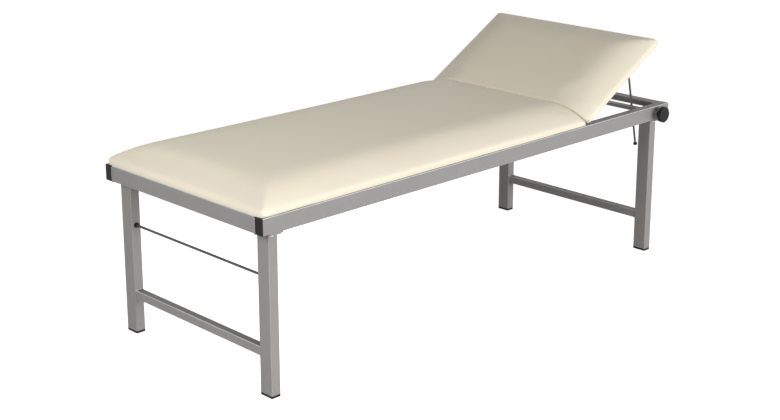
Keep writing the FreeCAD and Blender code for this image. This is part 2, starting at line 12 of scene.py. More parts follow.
import bmesh
import bpy
from mathutils import Matrix, Vector
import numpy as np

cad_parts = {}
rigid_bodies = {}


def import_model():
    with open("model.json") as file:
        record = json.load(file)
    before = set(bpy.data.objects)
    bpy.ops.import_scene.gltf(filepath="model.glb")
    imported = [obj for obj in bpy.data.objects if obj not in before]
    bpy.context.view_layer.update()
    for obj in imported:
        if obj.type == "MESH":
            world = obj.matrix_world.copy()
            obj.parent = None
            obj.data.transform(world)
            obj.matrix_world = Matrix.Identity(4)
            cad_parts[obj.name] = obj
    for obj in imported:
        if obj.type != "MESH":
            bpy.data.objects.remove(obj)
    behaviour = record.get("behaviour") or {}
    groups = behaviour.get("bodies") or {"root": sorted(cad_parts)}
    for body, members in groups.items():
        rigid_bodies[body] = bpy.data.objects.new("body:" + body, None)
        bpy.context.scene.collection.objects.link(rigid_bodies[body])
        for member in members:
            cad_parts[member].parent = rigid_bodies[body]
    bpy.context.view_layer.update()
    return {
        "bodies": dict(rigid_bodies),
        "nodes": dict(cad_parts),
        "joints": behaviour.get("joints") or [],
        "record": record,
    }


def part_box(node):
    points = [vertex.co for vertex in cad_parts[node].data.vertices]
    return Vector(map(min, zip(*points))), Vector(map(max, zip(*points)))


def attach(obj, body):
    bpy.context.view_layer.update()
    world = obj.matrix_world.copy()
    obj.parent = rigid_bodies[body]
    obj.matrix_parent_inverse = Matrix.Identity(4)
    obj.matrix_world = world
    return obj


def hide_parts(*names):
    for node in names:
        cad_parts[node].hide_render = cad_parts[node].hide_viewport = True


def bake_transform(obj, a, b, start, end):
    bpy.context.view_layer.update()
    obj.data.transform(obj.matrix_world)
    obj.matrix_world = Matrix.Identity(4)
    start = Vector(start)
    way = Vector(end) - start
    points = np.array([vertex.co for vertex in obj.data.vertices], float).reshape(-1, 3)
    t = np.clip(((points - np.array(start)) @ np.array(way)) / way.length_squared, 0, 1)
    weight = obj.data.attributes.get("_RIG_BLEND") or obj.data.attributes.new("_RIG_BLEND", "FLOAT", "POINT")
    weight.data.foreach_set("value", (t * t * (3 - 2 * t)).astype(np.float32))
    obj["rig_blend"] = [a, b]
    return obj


LOG = logging.getLogger("examination_couch")
PHOTO_WIDTH = 780
SENSOR_WIDTH = 36.0
TINY = 1e-6
WHITE = (1.0, 1.0, 1.0, 1.0)

Colour = tuple[float, float, float]
Triple = tuple[float, float, float]
LatticePlace = tuple[int, int, int]


class Finish(enum.Enum):
    """Material slots of the part, by their names in the record."""

    TUBE_PAINT = "frame_paint"
    BLACK_PLASTIC = "black_plastic"
    CREAM_VINYL = "cream_vinyl"
    WHITE_BOARD = "white_board"
    DARK_STEEL = "dark_steel"
    ZINC_STEEL = "zinc_steel"


class Side(enum.Enum):
    """Long sides of the couch, with the sign of Y on each."""

    NEAR = -1
    FAR = 1


class Section(enum.Enum):
    """The two padded sections, with the direction along X from the hinge to the free end of each."""

    MAIN = -1
    HEAD = 1

    @property
    def body(self) -> str:
        """CAD body that carries the section's board."""
        return "head_section" if self is Section.HEAD else "frame"

    @property
    def turn(self) -> float:
        """Angle by which the section is raised at rest."""
        return math.radians(30.0) if self is Section.HEAD else 0.0


class Shade:
    """A shader socket whose arithmetic adds Math nodes."""

    def __init__(self, graph: Graph, socket: bpy.types.NodeSocket) -> None:
        """Keep the graph and the socket.

        Args:
            graph: Graph that the socket belongs to.
            socket: Output socket that carries the value.
        """
        self.graph = graph
        self.socket = socket

    def _math(self, operation: str, first: Any, second: Any) -> Shade:
        """Add one Math node.

        Args:
            operation: Name of the operation.
            first: First value or shade.
            second: Second value or shade.

        Returns:
            The result as a shade.
        """
        return self.graph.node("ShaderNodeMath", {"operation": operation}, {0: first, 1: second})

    def __add__(self, other: Any) -> Shade:
        """Sum."""
        return self._math("ADD", self, other)

    __radd__ = __add__

    def __sub__(self, other: Any) -> Shade:
        """Difference."""
        return self._math("SUBTRACT", self, other)

    def __rsub__(self, other: Any) -> Shade:
        """Difference from a number."""
        return self._math("SUBTRACT", other, self)

    def __mul__(self, other: Any) -> Shade:
        """Product."""
        return self._math("MULTIPLY", self, other)

    __rmul__ = __mul__


class Graph:
    """Node tree of one material, or of the world."""

    def __init__(self, name: str, world: bpy.types.World | None = None) -> None:
        """Start an empty tree.

        Args:
            name: Name of the material.
            world: World to fill in place of a material.
        """
        self.material = None if world else bpy.data.materials.new(name)
        owner = world or self.material
        owner.use_nodes = True
        self.tree = owner.node_tree
        self.tree.nodes.clear()

    def node(
        self,
        kind: str,
        settings: dict[str, Any] | None = None,
        sockets: dict[str | int, Any] | None = None,
        output: str | int = 0,
    ) -> Shade:
        """Add any node, its settings first and then the values or links of its sockets.

        Args:
            kind: Blender's type name of the node.
            settings: Attributes to set, where "stops" gives the stops of a ramp.
            sockets: Values or shades by input name or number.
            output: Name or number of the output to return.

        Returns:
            The chosen output.
        """
        made = self.tree.nodes.new(kind)
        for key, value in (settings or {}).items():
            if key == "stops":
                self._set_stops(made.color_ramp, value)
            else:
                setattr(made, key, value)
        for key, value in (sockets or {}).items():
            if isinstance(value, Shade):
                self.tree.links.new(value.socket, made.inputs[key])
            else:
                made.inputs[key].default_value = value
        return Shade(self, made.outputs[output])

    @staticmethod
    def _set_stops(ramp: bpy.types.ColorRamp, stops: Sequence[tuple[float, float]]) -> None:
        """Set a grey ramp.

        Args:
            ramp: The ramp of the node.
            stops: Position and brightness of each stop.
        """
        while len(ramp.elements) < len(stops):
            ramp.elements.new(1.0)
        for element, (position, level) in zip(ramp.elements, stops):
            element.position = position
            element.color = (level, level, level, 1.0)

    def place(self, stretch: Triple = (1.0, 1.0, 1.0)) -> Shade:
        """Object coordinates, in metres, stretched along each axis.

        Args:
            stretch: Factor along each axis.

        Returns:
            The coordinates as a vector.
        """
        spot = self.node("ShaderNodeTexCoord", output="Object")
        return self.node("ShaderNodeVectorMath", {"operation": "MULTIPLY"}, {0: spot, 1: stretch})

    def noise(self, scale: float, detail: float = 3.0, stretch: Triple = (1.0, 1.0, 1.0)) -> Shade:
        """Noise in object space.

        Args:
            scale: Features per metre.
            detail: Number of finer layers.
            stretch: Factor along each axis.

        Returns:
            The noise, about 0.5 in the mean.
        """
        sockets = {"Vector": self.place(stretch), "Scale": scale, "Detail": detail, "Roughness": 0.55}
        return self.node("ShaderNodeTexNoise", None, sockets)

    def cells(self, scale: float) -> Shade:
        """Voronoi cells in object space.

        Args:
            scale: Cells per metre.

        Returns:
            The distance from the edge of the cell.
        """
        sockets = {"Vector": self.place(), "Scale": scale}
        return self.node("ShaderNodeTexVoronoi", {"feature": "DISTANCE_TO_EDGE"}, sockets, "Distance")

    def largest(self, *values: Shade) -> Shade:
        """Largest of several values.

        Args:
            values: Values to compare.

        Returns:
            The largest at each place.
        """
        most = values[0]
        for value in values[1:]:
            most = self.node("ShaderNodeMath", {"operation": "MAXIMUM"}, {0: most, 1: value})
        return most

    def corners(self) -> Shade:
        """Mark the rounded edges.

        Returns:
            0 on faces square to the axes, up to about 0.29 on the rounded edges between them.
        """
        facing = self.node("ShaderNodeTexCoord", output="Normal")
        size = self.node("ShaderNodeVectorMath", {"operation": "ABSOLUTE"}, {0: facing})
        parts = [self.node("ShaderNodeSeparateXYZ", None, {0: size}, axis) for axis in ("X", "Y", "Z")]
        return 1 - self.largest(*parts)

    def facing_up(self) -> Shade:
        """1 where a surface faces up, 0 where it stands upright, -1 where it faces down."""
        facing = self.node("ShaderNodeTexCoord", output="Normal")
        return self.node("ShaderNodeSeparateXYZ", None, {0: facing}, "Z")

    def ramp(self, value: Shade, *stops: tuple[float, float]) -> Shade:
        """Grey ramp of a value.

        Args:
            value: Value to map.
            stops: Position and brightness of each stop.

        Returns:
            The mapped value.
        """
        return self.node("ShaderNodeValToRGB", {"stops": stops}, {"Fac": value})

    def mix(self, share: Shade, ground: Shade | Colour, over: Colour) -> Shade:
        """Lay a colour over another by share.

        Args:
            share: How much of the upper colour shows.
            ground: Colour below, a shade or linear values.
            over: Colour above, linear.

        Returns:
            The mixed colour.
        """
        below = ground if isinstance(ground, Shade) else (*ground, 1.0)
        settings = {"data_type": "RGBA", "clamp_factor": True}
        return self.node("ShaderNodeMix", settings, {"Factor": share, 6: below, 7: (*over, 1.0)}, 2)

    def bump(self, height: Shade, distance: float, strength: float, below: Shade | None = None) -> Shade:
        """Bump from a height.

        Args:
            height: Height from 0 to 1.
            distance: Real height of 1, in metres.
            strength: Strength of the effect.
            below: Finer bump that this one lies over.

        Returns:
            The normal.
        """
        sockets = {"Height": height, "Distance": distance, "Strength": strength}
        if below:
            sockets["Normal"] = below
        return self.node("ShaderNodeBump", None, sockets)

    def surface(self, sockets: dict[str | int, Any]) -> bpy.types.Material:
        """Finish the material with one Principled shader.

        Args:
            sockets: Values and shades of the shader's sockets.

        Returns:
            The material.
        """
        self.close(self.node("ShaderNodeBsdfPrincipled", None, sockets))
        return self.material

    def close(self, shader: Shade) -> None:
        """Connect the shader to the output of the material or the world.

        Args:
            shader: Finished shader.
        """
        kind = "ShaderNodeOutputWorld" if self.material is None else "ShaderNodeOutputMaterial"
        end = self.tree.nodes.new(kind)
        self.tree.links.new(shader.socket, end.inputs["Surface"])

    def white_to(self) -> Shade:
        """1 for rays that see the background: camera, mirror and glass rays."""
        rays = ("Is Camera Ray", "Is Glossy Ray", "Is Transmission Ray")
        return self.largest(*[self.node("ShaderNodeLightPath", output=ray) for ray in rays])


@dataclass(frozen=True)
class TubePaint:
    """Silver-grey stoved paint on the tubes, with a fine orange-peel skin, light rubbing, painted shade on
    the up-facing faces and a painted highlight on the upper rounded edges.
    """

    pale: Colour = (0.268, 0.263, 0.260)
    deep: Colour = (0.222, 0.218, 0.215)
    scuff: Colour = (0.20, 0.196, 0.194)
    # painted shade: dark colour laid on the up-facing faces, standing in for the shade they fall in
    top_shade: Colour = (0.105, 0.103, 0.101)
    # painted highlight: pale colour laid on the rounded edges, mostly the upper ones, standing in for light
    # caught there
    edge: Colour = (0.70, 0.695, 0.69)
    cloud_scale: float = 9.0
    fleck_scale: float = 2600.0
    rub_scale: float = 38.0
    rub_stretch: Triple = (1.0, 1.0, 0.45)
    rub_share: float = 0.22
    # how much of the painted shade covers the up-facing faces
    top_shade_share: float = 0.85
    upright_highlight_share: float = 0.12
    upper_highlight_share: float = 0.65
    roughness: float = 0.44
    skin_scale: float = 420.0
    skin_height: float = 0.00006

    def material(self) -> bpy.types.Material:
        """Build the node material.

        Returns:
            The finished material.
        """
        graph = Graph("silver_tube_paint")
        cloud = graph.noise(self.cloud_scale, 4.0)
        fleck = graph.noise(self.fleck_scale, 1.0)
        rub = graph.ramp(graph.noise(self.rub_scale, 6.0, self.rub_stretch), (0.63, 0.0), (0.74, 1.0))
        up = graph.facing_up()
        level = graph.ramp(up, (0.90, 0.0), (0.99, 1.0))
        rising = graph.ramp(up, (0.05, 0.0), (0.60, 1.0))
        edge = graph.ramp(graph.corners(), (0.04, 0.0), (0.20, 1.0))
        colour = graph.mix(cloud * 0.75 + fleck * 0.25, self.deep, self.pale)
        colour = graph.mix(rub * self.rub_share, colour, self.scuff)
        # painted shade: up-facing faces darkened towards the dark top colour, standing in for less light from
        # above
        colour = graph.mix(level * self.top_shade_share, colour, self.top_shade)
        # painted highlight on the rounded edges, strongest where they face up
        edge_highlight_share = edge * (rising * self.upper_highlight_share + self.upright_highlight_share)
        colour = graph.mix(edge_highlight_share, colour, self.edge)
        rough = self.roughness + (cloud - 0.5) * 0.12 + rub * 0.12
        skin = graph.noise(self.skin_scale, 2.0) * 0.8 + fleck * 0.2
        return graph.surface({
            "Base Color": colour,
            "Roughness": rough,
            "Metallic": 0.08,
            "Specular IOR Level": 0.18,
            "Coat Weight": 0.12,
            "Coat Roughness": 0.14,
            "Normal": graph.bump(skin, self.skin_height, 0.5),
        })


@dataclass(frozen=True)
class CreamVinyl:
    """Smooth cream upholstery vinyl: a fine pebble grain, slow mottling and a soft sheen."""

    pale: Colour = (0.785, 0.734, 0.606)
    deep: Colour = (0.730, 0.674, 0.546)
    soiled: Colour = (0.56, 0.50, 0.38)
    cloud_scale: float = 3.4
    soil_scale: float = 7.0
    soil_share: float = 0.10
    roughness: float = 0.46
    grain_scale: float = 620.0
    grain_height: float = 0.00012
    fine_grain_scale: float = 1500.0
    ripple_scale: float = 26.0
    ripple_height: float = 0.0012

    def material(self) -> bpy.types.Material:
        """Build the node material.

        Returns:
            The finished material.
        """
        graph = Graph("cream_upholstery_vinyl")
        cloud = graph.noise(self.cloud_scale, 5.0)
        soil = graph.ramp(graph.noise(self.soil_scale, 6.0), (0.60, 0.0), (0.82, 1.0))
        pebble = graph.ramp(graph.cells(self.grain_scale), (0.0, 0.0), (0.32, 1.0))
        colour = graph.mix(cloud, self.deep, self.pale)
        colour = graph.mix(soil * self.soil_share + (1 - pebble) * 0.06, colour, self.soiled)
        rough = self.roughness + (cloud - 0.5) * 0.10 + (1 - pebble) * 0.08
        ripple = graph.noise(self.ripple_scale, 3.0)
        height = pebble * 0.7 + graph.noise(self.fine_grain_scale, 2.0) * 0.3
        grain = graph.bump(height, self.grain_height, 0.35)
        return graph.surface({
            "Base Color": colour,
            "Roughness": rough,
            "Specular IOR Level": 0.22,
            "Sheen Weight": 0.04,
            "Sheen Roughness": 0.5,
            "Normal": graph.bump(ripple, self.ripple_height, 0.25, grain),
        })


@dataclass(frozen=True)
class BlackPlastic:
    """Moulded black plastic with a fine spark-eroded texture and greyed high spots."""

    black: Colour = (0.004, 0.004, 0.0043)
    greyed: Colour = (0.014, 0.014, 0.0147)
    cloud_scale: float = 60.0
    spark_scale: float = 1800.0
    roughness: float = 0.50
    texture_height: float = 0.00010

    def material(self) -> bpy.types.Material:
        """Build the node material.

        Returns:
            The finished material.
        """
        graph = Graph("moulded_black_plastic")
        cloud = graph.noise(self.cloud_scale, 4.0)
        spark = graph.noise(self.spark_scale, 2.0)
        colour = graph.mix(cloud * 0.6 + spark * 0.4, self.black, self.greyed)
        return graph.surface({
            "Base Color": colour,
            "Roughness": self.roughness + (spark - 0.5) * 0.2,
            "Specular IOR Level": 0.15,
            "Normal": graph.bump(spark, self.texture_height, 0.5),
        })


@dataclass(frozen=True)
class WhiteBoard:
    """White melamine-faced board with a faint matt print and marks from handling."""

    white: Colour = (0.83, 0.82, 0.80)
    dull: Colour = (0.74, 0.73, 0.70)
    cloud_scale: float = 12.0
    mark_scale: float = 30.0
    print_scale: float = 900.0
    print_stretch: Triple = (0.25, 1.0, 1.0)
    print_height: float = 0.00005
    roughness: float = 0.42

    def material(self) -> bpy.types.Material:
        """Build the node material.

        Returns:
            The finished material.
        """
        graph = Graph("white_melamine_board")
        cloud = graph.noise(self.cloud_scale, 5.0)
        print_grain = graph.noise(self.print_scale, 2.0, self.print_stretch)
        mark = graph.ramp(graph.noise(self.mark_scale, 6.0), (0.64, 0.0), (0.78, 1.0))
        colour = graph.mix(cloud * 0.6 + mark * 0.4, self.white, self.dull)
        return graph.surface({
            "Base Color": colour,
            "Roughness": self.roughness + mark * 0.15,
            "Normal": graph.bump(print_grain, self.print_height, 0.4),
        })


@dataclass(frozen=True)
class Steel:
    """Bare or plated steel: drawn along one axis, with brush lines, cloud and spots."""

    name: str
    bright: Colour
    dark: Colour
    roughness: float
    drawn: Triple
    line_scale: float = 700.0
    line_height: float = 0.00003
    cloud_scale: float = 45.0
    spot_scale: float = 160.0
    spot_share: float = 0.25

    def material(self) -> bpy.types.Material:
        """Build the node material.

        Returns:
            The finished material.
        """
        graph = Graph(self.name)
        lines = graph.noise(self.line_scale, 3.0, self.drawn)
        cloud = graph.noise(self.cloud_scale, 4.0)
        spots = graph.ramp(graph.noise(self.spot_scale, 5.0), (0.62, 0.0), (0.72, 1.0))
        colour = graph.mix(cloud * 0.6 + lines * 0.4, self.dark, self.bright)
        colour = graph.mix(spots * self.spot_share, colour, self.dark)
        return graph.surface({
            "Base Color": colour,
            "Roughness": self.roughness + (lines - 0.5) * 0.2 + spots * 0.1,
            "Metallic": 0.9,
            "Normal": graph.bump(lines, self.line_height, 0.4),
        })


class Palette:
    """The materials of the part, one for each slot."""

    def __init__(self) -> None:
        """Build every finish once."""
        self.materials: dict[Finish, bpy.types.Material] = {
            Finish.TUBE_PAINT: TubePaint().material(),
            Finish.BLACK_PLASTIC: BlackPlastic().material(),
            Finish.CREAM_VINYL: CreamVinyl().material(),
            Finish.WHITE_BOARD: WhiteBoard().material(),
            Finish.DARK_STEEL: Steel(
                "dark_drawn_steel", (0.13, 0.13, 0.133), (0.05, 0.05, 0.052), 0.42, (1.0, 0.04, 1.0)
            ).material(),
            Finish.ZINC_STEEL: Steel(
                "zinc_plated_steel", (0.62, 0.62, 0.64), (0.38, 0.38, 0.40), 0.36, (0.2, 1.0, 1.0)
            ).material(),
        }

    def dress(self, piece: bpy.types.Object, finish: Finish) -> None:
        """Give a piece one finish.

        Args:
            piece: Object to dress.
            finish: Finish to give it.
        """
        if piece.data.materials:
            for index in range(len(piece.data.materials)):
                piece.data.materials[index] = self.materials[finish]
        else:
            piece.data.materials.append(self.materials[finish])


@dataclass(frozen=True)
class CouchSizes:
    """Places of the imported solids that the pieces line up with, and how far the covers lie outside them."""

    hinge_x: float
    rail_top: float
    board_end: float
    board_side: float
    cover_past_end: float = 0.0105
    cover_past_side: float = 0.011

    @classmethod
    def from_frame(cls) -> CouchSizes:
        """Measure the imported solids.

        Returns:
            The sizes in metres.
        """
        pin_low, pin_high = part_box("hinge_pin_near")
        board_low, board_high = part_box("main_board")
        return cls((pin_low.x + pin_high.x) / 2.0, board_low.z, -board_low.x, board_high.y)

    @property
    def half_width(self) -> float:
        """Distance of the covers' sides from the middle."""
        return self.board_side + self.cover_past_side

    def free_end(self, section: Section) -> float:
        """X of a cover's free end, with its section lying flat."""
        return section.value * (self.board_end + self.cover_past_end)

    def raise_on_hinge(self, piece: bpy.types.Object, section: Section) -> None:
        """Turn a piece that was drawn flat up about the hinge line.

        Args:
            piece: Piece to turn.
            section: Section that it belongs to.
        """
        pivot = Vector((self.hinge_x, 0.0, self.rail_top))
        tilt = Matrix.Rotation(section.turn, 4, Vector((0.0, -1.0, 0.0)))
        piece.data.transform(Matrix.Translation(pivot) @ tilt @ Matrix.Translation(-pivot))


@dataclass
class Workshop:
    """What every sub-assembly needs: the loaded frame, its sizes and the palette."""

    frame: dict[str, Any]
    sizes: CouchSizes
    palette: Palette
    made: list[bpy.types.Object] = field(default_factory=list)

    def piece(
        self,
        name: str,
        points: Sequence[Vector],
        faces: Sequence[Sequence[int]],
        finish: Finish,
        body: str = "",
    ) -> bpy.types.Object:
        """Make a mesh piece, dress it and let it ride on a body.

        Args:
            name: Name of the piece.
            points: Vertices in metres.
            faces: Vertex numbers of each face.
            finish: Finish of the piece.
            body: CAD body that it moves with, or none for a piece that bends between two.

        Returns:
            The new object.
        """
        mesh = bpy.data.meshes.new(name)
        mesh.from_pydata([tuple(point) for point in points], [], [tuple(face) for face in faces])
        mesh.validate()
        mesh.shade_smooth()
        made = bpy.data.objects.new(name, mesh)
        bpy.context.scene.collection.objects.link(made)
        self.palette.dress(made, finish)
        if body:
            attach(made, body)
        self.made.append(made)
        return made


def swell(share: float, power: float) -> float:
    """Rise of a stuffed edge from 0 to 1.

    Args:
        share: Distance from the edge as a share of the roll.
        power: How early it rises.

    Returns:
        The height as a share.
    """
    bounded = min(max(share, 0.0), 1.0)
    return 1.0 - (1.0 - bounded) ** power


def crowded_places(count: int, dense: float) -> list[float]:
    """Places from 0 to 1, closer together at both ends.

    Args:
        count: Number of steps.
        dense: 0 for even steps, towards 1 for closer ends.

    Returns:
        The places.
    """
    places = []
    for index in range(count + 1):
        share = index / count
        eased = 0.5 - 0.5 * math.cos(math.pi * share)
        places.append(share * (1.0 - dense) + eased * dense)
    return places


@dataclass
class Lattice:
    """Closed skin over a block of lattice places: its points and the faces between them."""

    flipped: bool
    points: list[Vector] = field(default_factory=list)
    faces: list[list[int]] = field(default_factory=list)
    held: set[int] = field(default_factory=set)
    index: dict[LatticePlace, int] = field(default_factory=dict)

    def add(self, place: LatticePlace, point: Vector, held: bool) -> None:
        """Keep a point.

        Args:
            place: Its lattice place.
            point: The point in metres.
            held: Whether it stays where it is while the skin swells.
        """
        self.index[place] = len(self.points)
        if held:
            self.held.add(len(self.points))
        self.points.append(point)

    def quad(self, *places: LatticePlace) -> None:
        """Join four places with a face that looks outward."""
        ring = [self.index[place] for place in places]
        self.faces.append(ring[::-1] if self.flipped else ring)


@dataclass
class Cushion:
    """A stuffed cushion: a closed skin with a crown, broad edge rolls and a flat underside."""

    shop: Workshop
    name: str
    node: str
    section: Section
    crease_gap: float
    edge_height: float = 0.017
    crown_height: float = 0.069
    draw_in: float = 0.003
    side_roll: float = 0.180
    end_roll: float = 0.190
    roll_power: float = 2.7
    corner_power: float = 6.0
    edge_round: float = 0.010
    tuck: float = 0.0035
    corner_radius: float = 0.022
    crease_lean: float = math.radians(15.0)
    crease_foot_gap: float = 0.0065
    crease_foot_height: float = 0.020
    crease_round: float = 0.008
    crease_depth: float = 0.022
    hem_width: float = 0.043
    hem_thickness: float = 0.0003
    hem_turn_up: float = 0.006
    steps_along: int = 90
    steps_across: int = 60
    edge_density: float = 0.86
    levels: int = 3
    pressure: float = 4.0
    cloth_quality: int = 6
    stretch_stiffness: float = 12.0
    bend_stiffness: float = 0.8
    frames: int = 20
    cap: float = 0.006
    tight_width: float = 0.12
    smooth_passes: int = 3
    smooth_share: float = 0.5
    fold_reach: float = 0.068
    fold_shift: float = 0.005
    fill: float = 0.75

    def build(self) -> bpy.types.Object:
        """Make the skin, swell it, and let it stand for its solid.

        Returns:
            The finished cushion.
        """
        skin = self._skin()
        piece = self.shop.piece(self.name, skin.points, skin.faces, Finish.CREAM_VINYL)
        self._inflate(piece, skin.held)
        self._refine(piece)
        self.shop.sizes.raise_on_hinge(piece, self.section)
        self._fold(piece)
        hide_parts(self.node)
        return piece

    @property
    def length(self) -> float:
        """Length from the free end to the hinge line."""
        return abs(self.shop.sizes.hinge_x - self.shop.sizes.free_end(self.section))

    def _from_side(self, y: float) -> float:
        """Distance of a place from the nearest long side."""
        return self.shop.sizes.half_width - abs(y)

    def _fold(self, piece: bpy.types.Object) -> None:
        """Let the foam beside the crease give way evenly as the head section tilts.

        Args:
            piece: Cushion in its raised place.
        """
        sizes = self.shop.sizes
        across = Vector((math.cos(self.crease_lean), 0.0, math.sin(self.crease_lean))) * self.fold_reach
        crease = Vector((sizes.hinge_x - self.fold_shift, 0.0, sizes.rail_top))
        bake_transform(piece, "frame", "head_section", tuple(crease - across), tuple(crease + across))

    def _plan(self, along: float, across: float) -> tuple[float, float]:
        """Distance from the free end and Y of a lattice place, with rounded corners and drawn-in sides.

        Args:
            along: 0 at the free end, 1 at the hinge.
            across: 0 at the near side, 1 at the far side.

        Returns:
            Distance from the free end, and Y.
        """
        half_width = self.shop.sizes.half_width
        distance = along * self.length
        y = (2.0 * across - 1.0) * half_width
        radius = self.corner_radius
        edge = self._from_side(y)
        nearest_end = min(distance, self.length - distance)
        if nearest_end < radius and edge < radius:
            u = 1.0 - nearest_end / radius
            v = 1.0 - edge / radius
            inward = radius * (1.0 - u * math.sqrt(1.0 - v * v / 2.0))
            distance = inward if distance < self.length / 2.0 else self.length - inward
            y = math.copysign(half_width - radius * (1.0 - v * math.sqrt(1.0 - u * u / 2.0)), y)
        pull = 1.0 - self.draw_in / half_width * math.sin(math.pi * along)
        return distance, y * pull

    def _rim(self, distance: float, y: float) -> float:
        """Distance from the nearest free edge, measured round the corners.

        Args:
            distance: Distance from the free end.
            y: Place across.

        Returns:
            The distance in metres.
        """
        side = self._from_side(y)
        radius = self.corner_radius
        if side < radius and distance < radius:
            return max(radius - math.hypot(radius - side, radius - distance), 0.0)
        return max(min(side, distance), 0.0)

    def _height(self, distance: float, y: float) -> float:
        """Height of the skin over the base.

        Args:
            distance: Distance from the free end.
            y: Place across.

        Returns:
            The height in metres.
        """
        side = max(self._from_side(y), TINY) / self.side_roll
        end = max(distance, TINY) / self.end_roll
        both = (side**-self.corner_power + end**-self.corner_power) ** (-1.0 / self.corner_power)
        rise = swell(both, self.roll_power)
        over = min(self._rim(distance, y) / self.edge_round, 1.0)
        edge = self.edge_height - self.edge_round * (1.0 - math.sqrt(1.0 - (1.0 - over) ** 2))
        return edge + (self.crown_height - self.edge_height) * rise

    def _skin(self) -> Lattice:
        """Lattice of the whole closed skin, held where it rests on the board or in the crease.

        Returns:
            The filled lattice.
        """
        alongs = crowded_places(self.steps_along, self.edge_density)
        acrosses = crowded_places(self.steps_across, self.edge_density)
        fold, far, top = self.steps_along, self.steps_across, self.levels
        skin = Lattice(flipped=self.section is Section.HEAD)
        for i in range(fold + 1):
            for j in range(far + 1):
                for k in range(top + 1):
                    if not (0 < i < fold and 0 < j < far and 0 < k < top):
                        point = self._place(alongs[i], acrosses[j], k / top)
                        skin.add((i, j, k), point, held=k == 0 or i == fold)
        for i in range(fold):
            for j in range(far):
                skin.quad((i, j, top), (i + 1, j, top), (i + 1, j + 1, top), (i, j + 1, top))
                skin.quad((i, j, 0), (i, j + 1, 0), (i + 1, j + 1, 0), (i + 1, j, 0))
        for k in range(top):
            for i in range(fold):
                skin.quad((i, 0, k), (i + 1, 0, k), (i + 1, 0, k + 1), (i, 0, k + 1))
                skin.quad((i, far, k), (i, far, k + 1), (i + 1, far, k + 1), (i + 1, far, k))
            for j in range(far):
                skin.quad((0, j, k), (0, j, k + 1), (0, j + 1, k + 1), (0, j + 1, k))
                skin.quad((fold, j, k), (fold, j + 1, k), (fold, j + 1, k + 1), (fold, j, k + 1))
        return skin

    def _place(self, along: float, across: float, level: float) -> Vector:
        """Point of the skin.

        Args:
            along: 0 at the free end, 1 at the hinge.
            across: 0 at the near side, 1 at the far side.
            level: 0 at the underside, 1 at the top.

        Returns:
            The point in metres.
        """
        sizes = self.shop.sizes
        distance, y = self._plan(along, across)
        reach = max(self.length - distance, 0.0)
        top = self._height(distance, y)
        near_crease = max(self.crease_round - reach, 0.0)
        top -= self.crease_depth * (1.0 - math.sqrt(1.0 - (near_crease / self.crease_round) ** 2))
        z = max(top, self.edge_height / 2.0) * level
        from_hinge = reach + self._crease(z) * (1.0 - min(reach / self.end_roll, 1.0))
        from_rim = self._rim(distance, y)
        if from_rim < self.tuck:
            y -= math.copysign(self.tuck * (1.0 - level) ** 2, y)
        if level == 0.0:
            z = -self.hem_thickness if from_rim < self.hem_width else self.hem_turn_up
        return Vector((sizes.hinge_x + self.section.value * from_hinge, y, sizes.rail_top + z))

    def _crease(self, z: float) -> float:
        """Distance of the crease from the hinge line.

        Args:
            z: Height over the underside.

        Returns:
            The distance towards the free end, in metres.
        """
        share = min(z / self.crease_foot_height, 1.0)
        gap = self.crease_foot_gap + (self.crease_gap - self.crease_foot_gap) * share
        return math.tan(self.crease_lean) * z + gap

    def _inflate(self, piece: bpy.types.Object, held: set[int]) -> None:
        """Swell the skin by cloth simulation, with the underside and the crease held.

        Args:
            piece: Cushion to swell.
            held: Vertices that stay where they are.
        """
        group = piece.vertex_groups.new(name="held")
        group.add(sorted(held), 1.0, "REPLACE")
        cloth = piece.modifiers.new("swell", "CLOTH")
        cloth.settings.quality = self.cloth_quality
        cloth.settings.tension_stiffness = self.stretch_stiffness
        cloth.settings.compression_stiffness = self.stretch_stiffness
        cloth.settings.bending_stiffness = self.bend_stiffness
        cloth.settings.use_pressure = True
        cloth.settings.uniform_pressure_force = self.pressure
        cloth.settings.effector_weights.gravity = 0.0
        cloth.settings.vertex_group_mass = "held"
        scene = bpy.context.scene
        for step in range(1, self.frames + 1):
            scene.frame_set(step)
        settled = piece.evaluated_get(bpy.context.evaluated_depsgraph_get())
        moved = [vertex.co.copy() for vertex in settled.data.vertices]
        piece.modifiers.remove(cloth)
        scene.frame_set(1)
        for vertex, new in zip(piece.data.vertices, moved):
            shift = new - vertex.co
            if shift.length > self.cap:
                shift *= self.cap / shift.length
            vertex.co = vertex.co + shift * self._looseness(vertex.co)
        piece.vertex_groups.clear()
        self._settle(piece, held)

    def _looseness(self, spot: Vector) -> float:
        """How far the skin may swell at a place: not at all at the edges, where the vinyl is stretched tight.

        Args:
            spot: Point of the skin.

        Returns:
            0 at the edges, 1 at some distance from them.
        """
        sizes = self.shop.sizes
        from_end = abs(spot.x - sizes.free_end(self.section))
        from_crease = abs(spot.x - sizes.hinge_x) - self.crease_round
        nearest = min(self._from_side(spot.y), from_end, from_crease)
        share = min(max(nearest / self.tight_width, 0.0), 1.0)
        return share * share * (3.0 - 2.0 * share)

    def _settle(self, piece: bpy.types.Object, held: set[int]) -> None:
        """Ease out the small puckers of the simulation.

        Args:
            piece: Cushion to ease.
            held: Vertices that stay where they are.
        """
        skin = bmesh.new()
        skin.from_mesh(piece.data)
        free = [vertex for vertex in skin.verts if vertex.index not in held]
        axes = {"use_axis_x": True, "use_axis_y": True, "use_axis_z": True}
        for _ in range(self.smooth_passes):
            bmesh.ops.smooth_vert(skin, verts=free, factor=self.smooth_share, **axes)
        skin.to_mesh(piece.data)
        skin.free()

